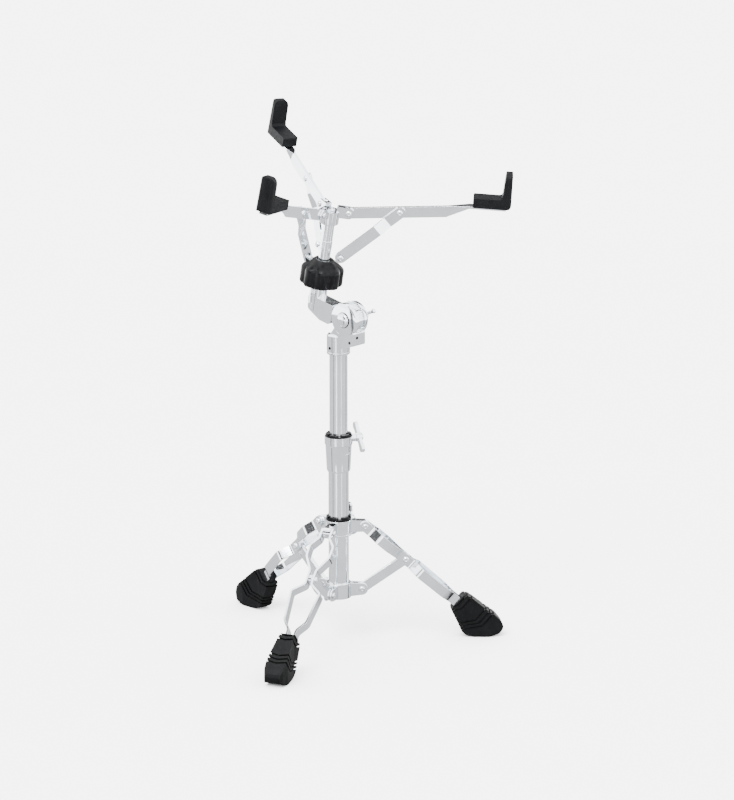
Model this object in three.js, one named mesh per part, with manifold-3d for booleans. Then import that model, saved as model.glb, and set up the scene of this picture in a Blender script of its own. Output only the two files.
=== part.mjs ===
// A folding snare drum stand: a tripod on a telescoping pole, a tilter on top of
// the pole and a three-armed basket with rubber cradles that grips the drum.
// Millimetres and degrees, +Z up, leg 1 along +X.
import * as THREE from 'three';
import { mergeVertices } from 'three/addons/utils/BufferGeometryUtils.js';
import Module from 'manifold-3d';

const wasm = await Module();
wasm.setup();

const deg = Math.PI / 180;
const gap = 0.3; // running clearance between neighbouring parts
const thirdOfTurn = 120;

// ---- driving dimensions -------------------------------------------------

// Pole: two steel tubes, one inside the other.
const baseTube = { outer: 14.3, inner: 13.1, bottom: 66, top: 290 };
const upperTube = { outer: 12.7, inner: 11.4, bottom: 170, top: 441 };

// Tripod linkage, as radius from the pole axis and height.
const legPivot = { r: 36.7, z: 167.5 };
const waist = { r: 94.8, z: 116 };
const stayPivot = { r: 32.4, z: 75 };
const strapDepth = 14.5;
const strapThickness = 2.8;
const stayThickness = 5.6;
const legRivetRadius = 3;
const stayRivetRadius = 2.5;
const rivetHead = { radius: 4.2, rise: 1.8 };

// Half-width of a leg along its length: collar end, upper loop, waist, lower loop, foot.
const strapLine = [[-8, 7.4], [12, 7.4], [26, 17.5], [44, 17], [66, 4.6], [89, 4.6],
  [102, 21.5], [150, 16.5], [164, 6], [192, 6]];

// Collars on the base tube.
const tripodCollar = { outer: 18.2, low: 155.5, high: 178, bushingHigh: 184 };
const stayCollar = { outer: 17.5, low: 64, high: 86 };
const heightClamp = { lowRadius: 15.8, highRadius: 19.6, low: 249, high: 300, bushingHigh: 304 };
const tripodScrew = { azimuth: 50, z: 171.5, face: 25, lean: -12 };
const heightScrew = { azimuth: 15, z: 294.5, face: 25, lean: -42 };
const screwBoss = 5.4;
const wing = { screw: 3, hub: 6, reach: 18, lobe: 5.5, thickness: 4.5, length: 11 };

// Tilter: a clevis on the upper tube, turned by this azimuth, that leans the basket rod.
const tilter = { azimuth: -51, axisOffset: 22, axisZ: 473, lean: 10.6 };
const clevis = { radius: 23.9, halfWidth: 13, slot: 5.6, socketRadius: 16.3, socketLow: 419, socketHigh: 448 };
const drum = { radius: 23, halfWidth: 5.2 };
const tilterBolt = { shank: 4, head: 9.5 };
const rod = { offset: 63, radius: 8, sleeveRadius: 10.8, sleeveTop: 28 };

// Basket, as heights along the rod above the tilter axis and radii from the rod.
const hub = { z: 139, radius: 13, pivotRadius: 25, deck: 0.5, skirt: -19, roof: -3 };
const slider = { z: 75, radius: 13.5, lugOffset: -8.6 };
const knob = { low: 29.5, high: 66.5, radius: 28.5, lobes: 8, lobeRise: 1.5 };
const barThickness = 4;
const barDepth = 16;
const braceThickness = 3;
const basketRivetRadius = 2.5;
const armKinds = {
  long: { slope: 9.3, seatTilt: 3.8, joint: 71, barEnd: 135, bend: { x: 168, z: 8.6 }, braceRadius: 22.5 },
  short: { slope: 17.3, seatTilt: 5, joint: 55.5, barEnd: 98, bend: { x: 115, z: 5.6 }, braceRadius: 31 },
};
const arms = [
  { name: '1', azimuth: 42.5, kind: armKinds.long },
  { name: '2', azimuth: 42.5 + thirdOfTurn, kind: armKinds.short },
  { name: '3', azimuth: 42.5 + 2 * thirdOfTurn, kind: armKinds.short },
];
const tongue = { length: 50, width: 13, thickness: 3.2 };
const cradle = { length: 54, base: 14, corner: 40, height: 52.5, width: 23 };

// ---- finishes -----------------------------------------------------------

const finishes = {
  chrome: { color: 0xd9dde2, roughness: 0.12, metalness: 1 },
  brightSteel: { color: 0xc4c9cf, roughness: 0.28, metalness: 1 },
  rubber: { color: 0x232527, roughness: 0.72, metalness: 0 },
  nylon: { color: 0x1a1b1d, roughness: 0.45, metalness: 0 },
};

// ---- geometry helpers ---------------------------------------------------

// Merged vertices with the zero-area triangles of a turned body's poles left out.
function closed(geometry) {
  const bare = geometry.clone();
  bare.deleteAttribute('normal');
  bare.deleteAttribute('uv');
  const merged = mergeVertices(bare, 1e-4);
  const corners = Array.from(merged.index.array);
  const kept = [];
  for (let i = 0; i < corners.length; i += 3) {
    const [a, b, c] = corners.slice(i, i + 3);
    if (a !== b && b !== c && c !== a) {
      kept.push(a, b, c);
    }
  }
  merged.setIndex(kept);
  return merged;
}

function toSolid(geometry) {
  const merged = closed(geometry);
  const vertProperties = new Float32Array(merged.attributes.position.array);
  const triVerts = new Uint32Array(merged.index.array);
  return new wasm.Manifold(new wasm.Mesh({ numProp: 3, vertProperties, triVerts }));
}

function toGeometry(solid) {
  const mesh = solid.getMesh();
  const geometry = new THREE.BufferGeometry();
  geometry.setAttribute('position', new THREE.BufferAttribute(mesh.vertProperties, 3));
  geometry.setIndex(new THREE.BufferAttribute(mesh.triVerts, 1));
  geometry.computeVertexNormals();
  return geometry;
}

function join(...pieces) {
  return toGeometry(pieces.map(toSolid).reduce((whole, piece) => whole.add(piece)));
}

function cut(body, ...tools) {
  return toGeometry(tools.map(toSolid).reduce((rest, tool) => rest.subtract(tool), toSolid(body)));
}

function common(...pieces) {
  return toGeometry(pieces.map(toSolid).reduce((shared, piece) => shared.intersect(piece)));
}

// A body turned about Z from [radius, height] points, listed upwards on the outside.
function turned(profile, segments = 24) {
  const points = profile.map(([radius, height]) => new THREE.Vector2(radius, height));
  return new THREE.LatheGeometry(points, segments).rotateX(Math.PI / 2);
}

function ring(outer, inner, low, high, segments = 24) {
  return turned([[outer, low], [outer, high], [inner, high], [inner, low], [outer, low]], segments);
}

function disc(radius, low, high, segments = 24) {
  return turned([[0, low], [radius, low], [radius, high], [0, high]], segments);
}

// A cylinder along Y, centred on the XZ point given.
function crossPin(radius, halfLength, x = 0, z = 0, segments = 12) {
  return disc(radius, -halfLength, halfLength, segments).rotateX(Math.PI / 2).translate(x, 0, z);
}

// A cylinder along +X from one radius to another.
function radialPin(radius, from, to, z, azimuth, segments = 12) {
  return disc(radius, from, to, segments).rotateY(Math.PI / 2).rotateZ(azimuth * deg).translate(0, 0, z);
}

function box(x, y, z) {
  const size = [x[1] - x[0], y[1] - y[0], z[1] - z[0]];
  const centre = [(x[0] + x[1]) / 2, (y[0] + y[1]) / 2, (z[0] + z[1]) / 2];
  return new THREE.BoxGeometry(...size).translate(...centre);
}

function outline(points) {
  return new THREE.Shape(points.map(([x, y]) => new THREE.Vector2(x, y)));
}

// A shape in the XY plane, raised along Z and centred on it.
function plate(shape, thickness, curveSegments = 5) {
  const options = { depth: thickness, bevelEnabled: false, curveSegments };
  return new THREE.ExtrudeGeometry(shape, options).translate(0, 0, -thickness / 2);
}

// A shape drawn in the XZ plane, as wide along Y as the width given.
function sidePlate(shape, width, curveSegments = 5) {
  return plate(shape, width, curveSegments).rotateX(Math.PI / 2);
}

// A bar's side view: round about the origin and about the far end.
function barShape(length, half) {
  const shape = new THREE.Shape();
  shape.absarc(0, 0, half, Math.PI / 2, 1.5 * Math.PI);
  shape.absarc(length, 0, half, -Math.PI / 2, Math.PI / 2);
  return shape;
}

// A lug's side view: flat at the root, round about its pivot.
function lugShape(root, pivotX, pivotZ, half, low, high) {
  const shape = new THREE.Shape();
  shape.moveTo(root, low);
  shape.absarc(pivotX, pivotZ, half, -Math.PI / 2, Math.PI / 2);
  shape.lineTo(root, high);
  return shape;
}

// A strip of even thickness that follows a bent line in the XY plane, with mitred corners.
function strip(line, thickness) {
  const half = thickness / 2;
  const points = line.map(([x, y]) => new THREE.Vector2(x, y));
  const sides = [[], []];
  points.forEach((point, i) => {
    const before = points[Math.max(i - 1, 0)];
    const after = points[Math.min(i + 1, points.length - 1)];
    const into = point.clone().sub(i ? before : point).normalize();
    const out = after.clone().sub(point).normalize();
    const along = into.clone().add(out).normalize();
    const normal = new THREE.Vector2(-along.y, along.x);
    const reach = half / Math.cos(along.angleTo(out.lengthSq() ? out : into));
    sides[0].push(point.clone().addScaledVector(normal, -reach));
    sides[1].unshift(point.clone().addScaledVector(normal, reach));
  });
  return new THREE.Shape([...sides[0], ...sides[1]]);
}

// A domed rivet head on the plane y = face, facing +Y or -Y, with its rim sunk below the plane.
function domedHead(face, side, sunk = 0) {
  const { radius, rise } = rivetHead;
  const profile = [[0, -sunk], [radius, -sunk], [radius, rise * 0.4], [radius * 0.7, rise], [0, rise]];
  return turned(profile, 10).rotateX(-side * Math.PI / 2).translate(0, face, 0);
}

// A through rivet along Y with a head on each side of the grip.
function rivet(shank, grip) {
  const seat = grip / 2 + gap;
  return join(crossPin(shank, seat + 0.5, 0, 0, 10), domedHead(seat, 1), domedHead(-seat, -1));
}

// ---- assembly helpers ---------------------------------------------------

const stand = new THREE.Group();

function frame(parent, { x = 0, y = 0, z = 0, turn = 0, pitch = 0 } = {}) {
  const group = new THREE.Group();
  group.position.set(x, y, z);
  group.rotation.set(0, pitch * deg, turn * deg);
  parent.add(group);
  return group;
}

function add(parent, name, geometry, finish) {
  const mesh = new THREE.Mesh(geometry, new THREE.MeshStandardMaterial(finishes[finish]));
  mesh.name = name;
  parent.add(mesh);
  return mesh;
}

function threeTimes(make) {
  return [0, 1, 2].map((i) => make(i * thirdOfTurn, i + 1));
}

// ---- pole ---------------------------------------------------------------

function makePlug() {
  const lip = baseTube.inner - 1.6;
  const skirt = baseTube.inner - gap;
  return turned([[0, baseTube.bottom - 3], [baseTube.outer - 1, baseTube.bottom - 3],
    [baseTube.outer, baseTube.bottom - 2], [baseTube.outer, baseTube.bottom - gap],
    [skirt, baseTube.bottom - gap], [skirt, baseTube.bottom + 10], [lip, baseTube.bottom + 10],
    [lip, baseTube.bottom + 2], [0, baseTube.bottom + 2]]);
}

function makeStayCollar() {
  const { outer, low, high } = stayCollar;
  const end = 8.6;
  const plateThickness = 2.5;
  const width = stayThickness + 2 * gap + 2 * plateThickness;
  const lugs = threeTimes((azimuth) => cut(
    sidePlate(lugShape(outer - 1.5, stayPivot.r, stayPivot.z, end, low + 1, high - 1), width),
    box([outer + 2, 60], [-stayThickness / 2 - gap, stayThickness / 2 + gap], [low - 5, high + 5]),
    crossPin(stayRivetRadius + gap, 20, stayPivot.r, stayPivot.z),
  ).rotateZ(azimuth * deg));
  return join(ring(outer, baseTube.outer + gap, low, high), ...lugs);
}

function makeTripodCollar() {
  const { outer, low, high } = tripodCollar;
  const tongue = 2 * (strapLine[0][1] - strapThickness / 2 - gap);
  const end = 8;
  const lugs = threeTimes((azimuth) => cut(
    sidePlate(lugShape(outer - 1.5, legPivot.r, legPivot.z, end, low + 3, high - 1), tongue),
    crossPin(legRivetRadius + gap, 20, legPivot.r, legPivot.z),
  ).rotateZ(azimuth * deg));
  const body = join(ring(outer, baseTube.outer + gap, low, high), ...lugs,
    radialPin(screwBoss, outer - 1, tripodScrew.face, tripodScrew.z, tripodScrew.azimuth));
  return cut(body,
    radialPin(wing.screw + gap, outer + 1, tripodScrew.face + 1, tripodScrew.z, tripodScrew.azimuth));
}

// A nylon ring with a notched rim, seated on a collar.
function makeBushing(outer, inner, low, high) {
  const notches = [0, 1, 2, 3, 4, 5].map((i) => box([inner - 2, outer + 2], [-2.2, 2.2], [high - 2.6, high + 1])
    .rotateZ((i * 60 + 30) * deg));
  return cut(turned([[outer, low], [outer, high - 1.5], [outer - 1.5, high], [inner, high], [inner, low],
    [outer, low]]), ...notches);
}

function makeHeightClamp() {
  const { lowRadius, highRadius, low, high } = heightClamp;
  const bore = baseTube.outer + gap;
  const neck = upperTube.outer + gap;
  const body = turned([[lowRadius, low], [lowRadius + 0.6, low + 3], [highRadius - 1, high - 14],
    [highRadius, high - 10], [highRadius, high], [neck, high], [neck, baseTube.top + gap],
    [bore, baseTube.top + gap], [bore, low], [lowRadius, low]]);
  const boss = radialPin(screwBoss, highRadius - 3, heightScrew.face, heightScrew.z, heightScrew.azimuth);
  const lockSlot = box([highRadius - 3, highRadius + 3], [-5.5, 5.5], [275.5, 279]).rotateZ(-53 * deg);
  return cut(join(body, boss), lockSlot,
    radialPin(wing.screw + gap, highRadius - 2, heightScrew.face + 1, heightScrew.z, heightScrew.azimuth));
}

// A wing bolt along +X with its seat at the origin.
function makeWingBolt(sunk) {
  const { screw, hub: hubRadius, reach, lobe, thickness, length } = wing;
  const shank = turned([[0, -sunk], [screw, -sunk], [screw, gap], [hubRadius, gap], [hubRadius, length - 3],
    [hubRadius - 2, length], [0, length]], 12).rotateY(Math.PI / 2);
  const wingPlate = (side) => join(
    box([0, thickness], [-3.2, 3.2], [0, reach]),
    disc(lobe, -thickness / 2, thickness / 2, 12).rotateY(Math.PI / 2).translate(thickness / 2, 0, reach),
  ).rotateX(side > 0 ? 0 : Math.PI).translate(length - thickness - 3, 0, 0);
  return join(shank, wingPlate(1), wingPlate(-1));
}

function addWingBolt(name, place) {
  const sunk = 5;
  const seat = frame(stand, { z: place.z, turn: place.azimuth });
  add(seat, name, makeWingBolt(sunk).rotateX(place.lean * deg).translate(place.face, 0, 0), 'chrome');
}

function makePole() {
  add(stand, 'base_tube', ring(baseTube.outer, baseTube.inner, baseTube.bottom, baseTube.top), 'chrome');
  add(stand, 'base_tube_plug', makePlug(), 'nylon');
  add(stand, 'stay_collar', makeStayCollar(), 'chrome');
  add(stand, 'height_clamp', makeHeightClamp(), 'chrome');
  const { highRadius, high, bushingHigh } = heightClamp;
  add(stand, 'height_clamp_bushing',
    makeBushing(highRadius - 1, upperTube.outer + gap, high + gap, bushingHigh), 'nylon');
  addWingBolt('height_wing_bolt', heightScrew);
  add(stand, 'upper_tube', ring(upperTube.outer, upperTube.inner, upperTube.bottom, upperTube.top), 'chrome');
  add(stand, 'tripod_collar', makeTripodCollar(), 'chrome');
  add(stand, 'tripod_collar_bushing',
    makeBushing(tripodCollar.outer - 0.4, baseTube.outer + gap, tripodCollar.high + gap, tripodCollar.bushingHigh),
    'nylon');
  addWingBolt('tripod_wing_bolt', tripodScrew);
}

// ---- legs and stays -----------------------------------------------------

const legPitch = Math.atan2(legPivot.z - waist.z, waist.r - legPivot.r) / deg;
const waistAt = Math.hypot(waist.r - legPivot.r, legPivot.z - waist.z);
const stayPitch = Math.atan2(waist.z - stayPivot.z, waist.r - stayPivot.r) / deg;
const stayLength = Math.hypot(waist.r - stayPivot.r, waist.z - stayPivot.z);

function makeStrap(side) {
  const line = strapLine.map(([along, half]) => [along, half * side]);
  const waistFace = side * (4.6 + strapThickness / 2);
  const strap = cut(plate(strip(line, strapThickness), strapDepth), crossPin(legRivetRadius + gap, 20));
  return join(strap, domedHead(waistFace, side, 0.3).translate(waistAt, 0, 0));
}

// A rubber boot in the leg's upright plane: radius from the pole and height above the floor.
function makeFoot() {
  const side = outline([[158.5, 41.5], [178, 63], [187, 58.5], [210, 39.5], [223, 30], [232, 19],
    [234, 12], [228, 4.5], [217, 0.8], [208, 0], [192, 0], [181, 2], [174, 8], [167, 24]]);
  const topView = outline([[150, -10], [182, -10.5], [212, -15], [228, -14], [240, -9], [240, 9],
    [228, 14], [212, 15], [182, 10.5], [150, 10]]);
  const boot = common(sidePlate(side, 40), plate(topView, 200));
  const pocketEnd = strapLine.at(-1)[0] + gap;
  const pocketHalf = strapDepth / 2 + gap;
  const pocketWidth = strapLine.at(-1)[1] + strapThickness / 2 + gap;
  const pocket = box([150, pocketEnd], [-pocketWidth, pocketWidth], [-pocketHalf, pocketHalf])
    .rotateY(legPitch * deg).translate(legPivot.r, 0, legPivot.z);
  return cut(boot, pocket);
}

function makeStay() {
  return cut(sidePlate(barShape(stayLength, strapDepth / 2), stayThickness),
    crossPin(stayRivetRadius + gap, 20));
}

function makeLegs() {
  const collarGrip = 2 * (strapLine[0][1] + strapThickness / 2);
  const stayGrip = stayThickness + 2 * gap + 5;
  threeTimes((azimuth, number) => {
    const plane = frame(stand, { turn: azimuth });
    const leg = frame(plane, { x: legPivot.r, z: legPivot.z, pitch: legPitch });
    add(leg, `leg_${number}_strap_left`, makeStrap(1), 'chrome');
    add(leg, `leg_${number}_strap_right`, makeStrap(-1), 'chrome');
    add(leg, `leg_${number}_pivot_rivet`, rivet(legRivetRadius, collarGrip), 'brightSteel');
    add(plane, `leg_${number}_foot`, makeFoot(), 'rubber');
    const stay = frame(plane, { x: stayPivot.r, z: stayPivot.z, pitch: -stayPitch });
    add(stay, `stay_${number}`, makeStay(), 'chrome');
    add(stay, `stay_${number}_rivet`, rivet(stayRivetRadius, stayGrip), 'brightSteel');
  });
}

// ---- tilter -------------------------------------------------------------

function makeTilterBase() {
  const { radius, halfWidth, slot, socketRadius, socketLow, socketHigh } = clevis;
  const { axisOffset, axisZ } = tilter;
  const bracket = outline([[-6, 427], [5, 427], [40, 438], [40, 456], [34, 462], [6, 462], [-6, 446]]);
  const body = join(
    turned([[0, socketLow], [socketRadius - 0.8, socketLow], [socketRadius, socketLow + 0.8],
      [socketRadius, socketHigh - 2], [socketRadius - 2, socketHigh], [0, socketHigh]]),
    sidePlate(bracket, 2 * halfWidth),
    crossPin(radius, halfWidth, axisOffset, axisZ, 32),
  );
  return cut(body,
    disc(upperTube.outer + gap, socketLow - 1, upperTube.top + gap),
    crossPin(drum.radius + 1.6, slot, axisOffset, axisZ, 32),
    box([-30, axisOffset], [-slot, slot], [upperTube.top + 3.5, 480]),
    crossPin(tilterBolt.shank + gap, 20, axisOffset, axisZ));
}

// The cast elbow: a drum between the clevis cheeks, an arm, and a sleeve for the basket rod.
function makeElbow() {
  const half = 11.5;
  const elbowLow = -18;
  const armSide = outline([[-25.2, elbowLow + 3], [-30, elbowLow], [-47, elbowLow], [-72, elbowLow + 9], [-73, half],
    [-25.2, half]]);
  const body = join(
    crossPin(drum.radius, drum.halfWidth, 0, 0, 32),
    box([-30, -10], [-drum.halfWidth, drum.halfWidth], [-half - 2, half - 0.5]),
    sidePlate(armSide, 2 * rod.sleeveRadius - 1),
    disc(rod.sleeveRadius, -half + 2, rod.sleeveTop).translate(-rod.offset, 0, 0),
    common(disc(13.5, 0, rod.sleeveTop), box([-20, -5], [-20, 20], [0, 40])).translate(-rod.offset, 0, 0),
  );
  const setScrewHole = radialPin(2.5 + gap, 8.5, 14, 20, -90).translate(-rod.offset, 0, 0);
  return cut(body,
    crossPin(tilterBolt.shank + gap, 20),
    disc(rod.radius + gap, -5, rod.sleeveTop + 1).translate(-rod.offset, 0, 0),
    setScrewHole);
}

function makeTilterBolt() {
  const { shank, head } = tilterBolt;
  const face = clevis.halfWidth + gap;
  return turned([[0, -26], [shank, -26], [shank, face], [head, face], [head, face + 1.6],
    [head - 2, face + 3.4], [0, face + 3.4]], 20).rotateX(Math.PI / 2);
}

// Set on the back of the clevis, along +Y: a flanged hub and a cross bar with ball ends.
function makeTeeHandle() {
  const from = clevis.halfWidth + 3.2;
  const barAt = from + 11;
  const hubBody = turned([[12, from], [12, from + 3], [7.5, from + 5], [7, from + 15],
    [tilterBolt.shank + gap, from + 15], [tilterBolt.shank + gap, from], [12, from]], 16)
    .rotateX(-Math.PI / 2);
  const halfBar = 24;
  const barProfile = [[0, 6.2], [2.2, 6.2], [2.2, halfBar - 3], [3.2, halfBar - 1.5], [2.2, halfBar], [0, halfBar]];
  const bars = [1, -1].map((side) => turned(barProfile, 10).rotateY(side * Math.PI / 2).translate(0, barAt, 0));
  return join(hubBody, ...bars);
}

function makeTilter() {
  const base = frame(stand, { turn: tilter.azimuth });
  add(base, 'tilter_clevis', makeTilterBase(), 'chrome');
  const axis = frame(base, { x: tilter.axisOffset, z: tilter.axisZ });
  add(axis, 'tilter_bolt', makeTilterBolt(), 'chrome');
  const washerFace = clevis.halfWidth + gap;
  add(axis, 'tilter_washer',
    ring(19.5, tilterBolt.shank + gap, washerFace, washerFace + 2.4).rotateX(-Math.PI / 2), 'nylon');
  const handleTurn = -25;
  add(axis, 'tilter_tee_handle', makeTeeHandle().rotateY(handleTurn * deg), 'chrome');
}

// ---- basket -------------------------------------------------------------

function makeFork(from, pivot, offset, bar, plates, half) {
  const width = bar + 2 * gap + 2 * plates;
  return cut(sidePlate(lugShape(0, pivot, 0, half, -half, half), width),
    box([from, 60], [-bar / 2 - gap, bar / 2 + gap], [-20, 20]),
    crossPin(basketRivetRadius + gap, 20, pivot, 0)).translate(0, offset, 0);
}

function makeHub() {
  const half = 8;
  const forks = arms.map((arm) => makeFork(15.5, hub.pivotRadius, 0, barThickness, 2.5, half)
    .rotateZ(arm.azimuth * deg));
  const dish = disc(9.5, hub.deck, half + 1);
  return cut(join(disc(hub.radius, hub.skirt, hub.deck), ...forks), dish,
    disc(rod.radius + gap, hub.skirt - 1, hub.roof));
}

function makeSlider() {
  const half = 7.5;
  const forks = arms.map((arm) => makeFork(12.5, arm.kind.braceRadius, slider.lugOffset, braceThickness, 2.5, half)
    .rotateZ(arm.azimuth * deg));
  return cut(join(disc(slider.radius, -half, half), ...forks), disc(rod.radius + 0.4, -20, 20));
}

function makeKnob() {
  const { low, high, radius, lobes, lobeRise } = knob;
  const steps = 48;
  const rim = Array.from({ length: steps }, (_, i) => {
    const angle = (i / steps) * 2 * Math.PI;
    const reach = radius + lobeRise * Math.cos(lobes * angle);
    return [reach * Math.cos(angle), reach * Math.sin(angle)];
  });
  const grip = plate(outline(rim), high - low).translate(0, 0, (high + low) / 2);
  const crown = turned([[0, low], [radius - 1, low], [radius + 4, low + 3], [radius + 4, high - 13],
    [radius - 3, high - 6], [14, high], [0, high]], 32);
  return cut(common(grip, crown), disc(rod.radius + 0.4, low - 1, high + 1));
}

// A rubber cradle: its inner end at x = 0, its underside at z = 0.
function makeCradle() {
  const { length, base, corner, height, width } = cradle;
  const side = outline([[0, 1.5], [2, 0], [length - 3, 0], [length, 3], [length - 1, height - 5],
    [length - 4, height], [corner + 5, height], [corner + 3, height - 3], [corner, base], [1.5, base],
    [0, base - 1.5]]);
  const half = width / 2;
  const topView = outline([[0, -half + 2], [2, -half], [length - 6, -half], [length - 1, -half + 4],
    [length, -half + 8], [length, half - 8], [length - 1, half - 4], [length - 6, half], [2, half],
    [0, half - 2]]);
  const frontView = outline([[-half, 0], [half, 0], [half, height - 8], [half - 2, height - 3],
    [half - 6, height], [-half + 6, height], [-half + 2, height - 3], [-half, height - 8]]);
  return common(sidePlate(side, width + 2), plate(topView, 3 * height),
    plate(frontView, 3 * length).rotateX(Math.PI / 2).rotateZ(Math.PI / 2));
}

// A flat bar on edge that narrows to a neck and ends in a flat tongue under the cradle.
function makeBar(kind) {
  const half = barDepth / 2;
  const { bend } = kind;
  const droop = (kind.slope - kind.seatTilt) * deg;
  const tip = { x: bend.x + tongue.length * Math.cos(droop), z: bend.z - tongue.length * Math.sin(droop) };
  const shape = new THREE.Shape();
  shape.absarc(0, 0, half, Math.PI / 2, 1.5 * Math.PI);
  shape.lineTo(kind.barEnd, -half);
  shape.lineTo(bend.x - 1, bend.z - tongue.thickness);
  shape.lineTo(tip.x, tip.z - tongue.thickness);
  shape.lineTo(tip.x, tip.z);
  shape.lineTo(bend.x, bend.z);
  shape.lineTo(kind.barEnd, half);
  const neck = kind.barEnd + 4;
  const bar = barThickness / 2;
  const flat = tongue.width / 2;
  const plan = outline([[-20, -bar], [neck, -bar], [bend.x, -flat], [260, -flat], [260, flat], [bend.x, flat],
    [neck, bar], [-20, bar]]);
  return common(sidePlate(shape, tongue.width), plate(plan, 100));
}

function makeBrace(length) {
  const upper = -(barThickness / 2 + gap + braceThickness / 2);
  const lower = slider.lugOffset;
  const line = [[-10, lower], [length - 41, lower], [length - 21, upper], [length + 10, upper]];
  const strap = common(plate(strip(line, braceThickness), barDepth),
    sidePlate(barShape(length, barDepth / 2), 60));
  const outerFace = upper - braceThickness / 2;
  return join(cut(strap, crossPin(basketRivetRadius + gap, 20)),
    domedHead(outerFace, -1, 0.3).translate(length, 0, 0));
}

function makeArm(hubFrame, arm) {
  const { name, kind } = arm;
  const radial = frame(hubFrame, { turn: arm.azimuth });
  const bar = frame(radial, { x: hub.pivotRadius, pitch: -kind.slope });
  const pierced = cut(makeBar(kind), crossPin(basketRivetRadius + gap, 20));
  const jointHead = domedHead(barThickness / 2, 1, 0.3).translate(kind.joint, 0, 0);
  add(bar, `basket_arm_${name}`, join(pierced, jointHead), 'chrome');
  const forkGrip = barThickness + 2 * gap + 5;
  add(bar, `basket_arm_${name}_rivet`, rivet(basketRivetRadius, forkGrip), 'brightSteel');
  const seat = frame(bar, { x: kind.bend.x, z: kind.bend.z, pitch: kind.slope - kind.seatTilt });
  add(seat, `cradle_${name}`, makeCradle().translate(4, 0, gap), 'rubber');

  const jointRadius = hub.pivotRadius + kind.joint * Math.cos(kind.slope * deg);
  const jointHeight = kind.joint * Math.sin(kind.slope * deg) + hub.z - slider.z;
  const run = jointRadius - kind.braceRadius;
  const brace = frame(radial, {
    x: kind.braceRadius, z: slider.z - hub.z, pitch: -Math.atan2(jointHeight, run) / deg,
  });
  add(brace, `basket_brace_${name}`, makeBrace(Math.hypot(run, jointHeight)), 'chrome');
  const braceRivet = rivet(basketRivetRadius, braceThickness + 2 * gap + 5).translate(0, slider.lugOffset, 0);
  add(brace, `basket_brace_${name}_rivet`, braceRivet, 'brightSteel');
}

function makeBasket() {
  const base = frame(stand, { turn: tilter.azimuth });
  const head = frame(base, { x: tilter.axisOffset, z: tilter.axisZ, pitch: tilter.lean });
  add(head, 'tilter_elbow', makeElbow(), 'chrome');
  const rodFrame = frame(head, { x: -rod.offset });
  const rodTop = hub.z + hub.roof - gap;
  add(rodFrame, 'basket_rod', disc(rod.radius, -4.5, rodTop), 'chrome');
  add(rodFrame, 'rod_set_screw', radialPin(2.5, 8.8, 12.5, 20, -90), 'brightSteel');
  add(rodFrame, 'basket_hub', makeHub().translate(0, 0, hub.z), 'chrome');
  const capLow = hub.z + hub.deck + gap;
  add(rodFrame, 'basket_hub_cap',
    turned([[0, capLow], [6, capLow], [6, capLow + 1.6], [4.2, capLow + 3], [0, capLow + 3]], 16), 'brightSteel');
  add(rodFrame, 'basket_slider', makeSlider().translate(0, 0, slider.z), 'chrome');
  add(rodFrame, 'basket_knob', makeKnob(), 'nylon');
  const hubFrame = frame(rodFrame, { z: hub.z });
  arms.forEach((arm) => makeArm(hubFrame, arm));
}

makePole();
makeLegs();
makeTilter();
makeBasket();

// The origin is on the floor, at the middle of the stand's bounding box.
stand.updateMatrixWorld(true);
const middle = new THREE.Box3().setFromObject(stand, true).getCenter(new THREE.Vector3());
stand.position.set(-middle.x, -middle.y, 0);
stand.updateMatrixWorld(true);

export default stand;
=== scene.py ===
# A chrome snare drum stand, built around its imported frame. Metres in the scene, millimetres in the shapes.
import math

import bmesh
import bpy
from mathutils import Matrix, Vector


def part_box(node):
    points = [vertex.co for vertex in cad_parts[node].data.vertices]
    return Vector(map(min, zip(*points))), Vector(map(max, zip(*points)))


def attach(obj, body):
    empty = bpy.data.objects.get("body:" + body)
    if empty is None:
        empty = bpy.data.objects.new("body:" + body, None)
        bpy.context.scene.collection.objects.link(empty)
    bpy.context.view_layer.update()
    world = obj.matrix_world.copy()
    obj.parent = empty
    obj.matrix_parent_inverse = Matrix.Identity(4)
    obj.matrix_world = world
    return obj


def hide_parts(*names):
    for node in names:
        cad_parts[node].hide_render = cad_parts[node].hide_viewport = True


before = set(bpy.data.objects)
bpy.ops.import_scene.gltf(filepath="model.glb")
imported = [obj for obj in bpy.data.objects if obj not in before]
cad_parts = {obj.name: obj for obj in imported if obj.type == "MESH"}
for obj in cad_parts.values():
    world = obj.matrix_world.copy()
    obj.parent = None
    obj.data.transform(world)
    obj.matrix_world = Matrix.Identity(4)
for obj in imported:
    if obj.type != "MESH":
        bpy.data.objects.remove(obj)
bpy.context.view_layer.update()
legNumbers = (1, 2, 3)  # the basket's arms are numbered in the same way
runningGap = 0.3  # between neighbouring parts
millimetre = 0.001
poleLow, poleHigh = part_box("upper_tube")
poleX, poleY = (poleLow.x + poleHigh.x) / 2, (poleLow.y + poleHigh.y) / 2

# ---- camera ----
cameraSetting = {
    "azimuth": -7.04,  # degrees, camera's right-hand side against +X
    "elevation": 15.56,
    "distance": 7.597,
    "targetRight": 0.0398,  # from the pole, along the camera's right
    "targetHeight": 0.3514,
    "lens": 244.8,
}


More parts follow.
